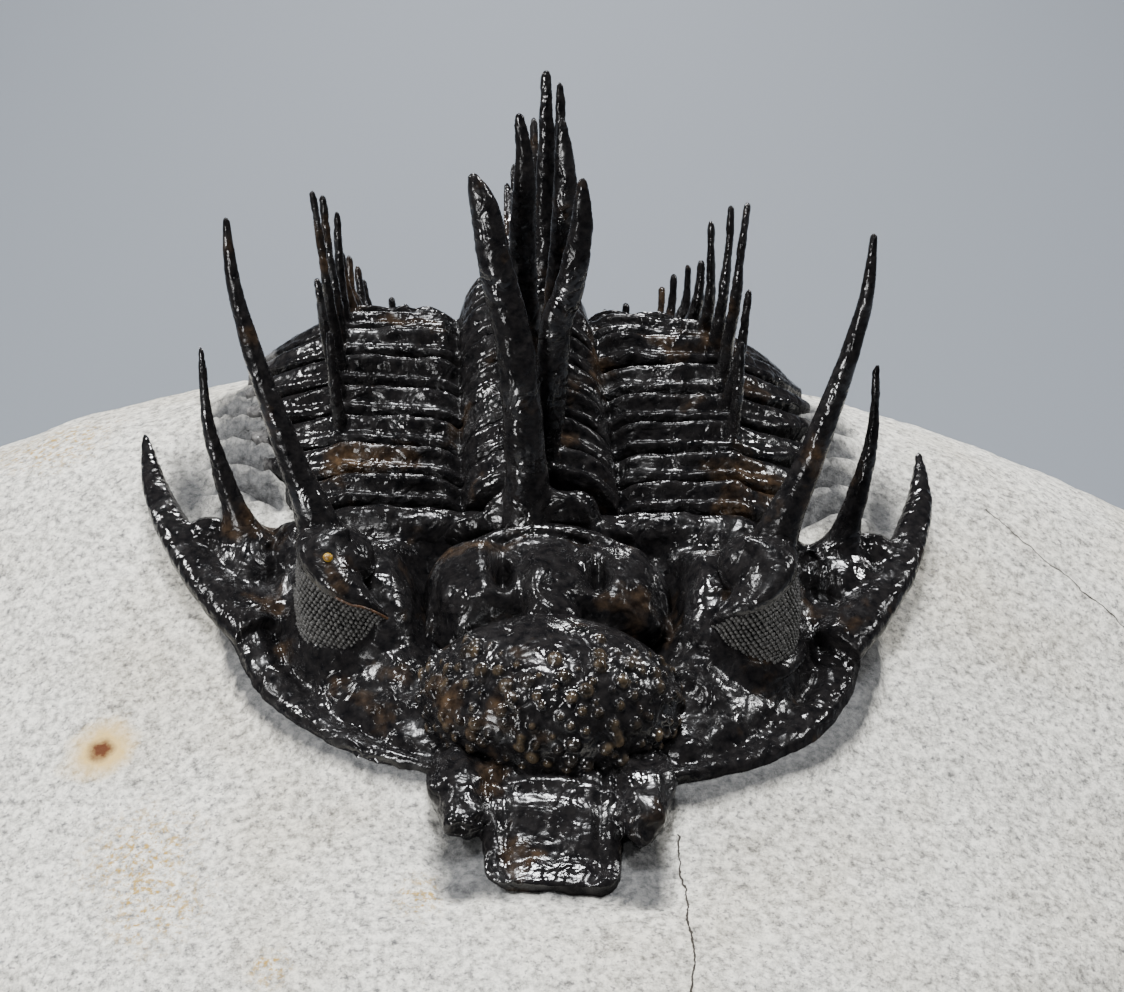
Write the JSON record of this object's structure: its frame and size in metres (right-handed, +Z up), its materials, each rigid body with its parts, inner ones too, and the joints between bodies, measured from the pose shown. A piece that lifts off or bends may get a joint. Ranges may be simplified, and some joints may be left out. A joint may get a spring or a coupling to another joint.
{
  "type": "fossil trilobite",
  "caption": "Spiny black trilobite fossil standing free on a rounded block of pale limestone with a flat base, made for display.",
  "frame": {"origin": "middle of the stone's flat base", "axes": "+X across the animal to the right of a viewer in front of its head, +Y from its head to its tail, +Z up"},
  "size_m": [0.108, 0.096, 0.0642],
  "materials": {
    "limestone": "dull, granular pale grey limestone",
    "shell": "black calcite shell, cleaned and waxed to a shine"
  },
  "bodies": {
    "root": {"limestone_matrix": "limestone", "head_shield": "shell", "thorax_segment_01": "shell", "thorax_segment_02": "shell", "thorax_segment_03": "shell", "thorax_segment_04": "shell", "thorax_segment_05": "shell", "thorax_segment_06": "shell", "thorax_segment_07": "shell", "thorax_segment_08": "shell", "thorax_segment_09": "shell", "thorax_segment_10": "shell", "thorax_segment_11": "shell", "tail_shield": "shell"}
  },
  "joints": []
}
